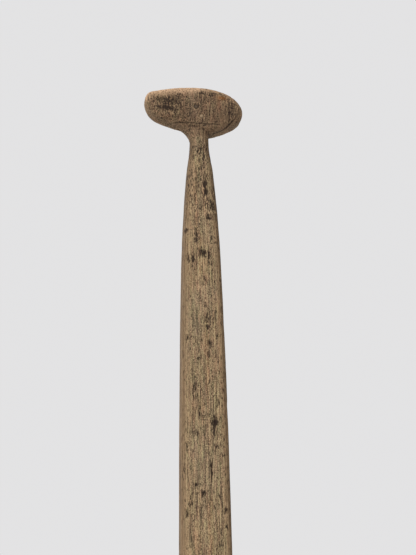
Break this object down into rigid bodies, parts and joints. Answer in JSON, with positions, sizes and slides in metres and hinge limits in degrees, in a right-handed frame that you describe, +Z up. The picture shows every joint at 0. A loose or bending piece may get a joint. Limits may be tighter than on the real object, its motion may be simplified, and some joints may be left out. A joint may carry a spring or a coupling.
{
  "type": "rowing oar with t-grip",
  "caption": "Weathered wooden oar: plank-like loom, pegged lens-shaped T-grip, and a long flat blade with side boards and a riveted metal tip band.",
  "frame": {"origin": "on the ground under the middle of the blade's tip, the oar standing upright on it", "axes": "+Z up along the oar from the blade's tip to the grip, X across its width with +X on the right of the front face, -Y out of the front face"},
  "size_m": [0.145, 0.0348, 1.7502],
  "materials": {
    "loom_wood": "bare, weathered, dry",
    "grip_wood": "bare, hand-worn, stained",
    "cheek_wood": "bare, weathered, dry",
    "peg_wood": "end grain, dark",
    "wedge_wood": "end grain, dry",
    "dowel_wood": "hidden inside, unweathered",
    "band_metal": "dull, tarnished sheet",
    "rivet_metal": "dull, worn heads"
  },
  "bodies": {
    "root": {"loom": "loom_wood", "t_grip": "grip_wood", "grip_wedge": "wedge_wood", "grip_peg_upper": "peg_wood", "grip_peg_lower": "peg_wood", "blade_cheek_left": "cheek_wood", "blade_cheek_right": "cheek_wood", "blade_dowel_left_1": "dowel_wood", "blade_dowel_left_2": "dowel_wood", "blade_dowel_left_3": "dowel_wood", "blade_dowel_right_1": "dowel_wood", "blade_dowel_right_2": "dowel_wood", "blade_dowel_right_3": "dowel_wood", "tip_band": "band_metal", "tip_rivet_1": "rivet_metal", "tip_rivet_2": "rivet_metal", "tip_rivet_3": "rivet_metal", "tip_rivet_4": "rivet_metal", "tip_rivet_5": "rivet_metal"}
  },
  "joints": []
}
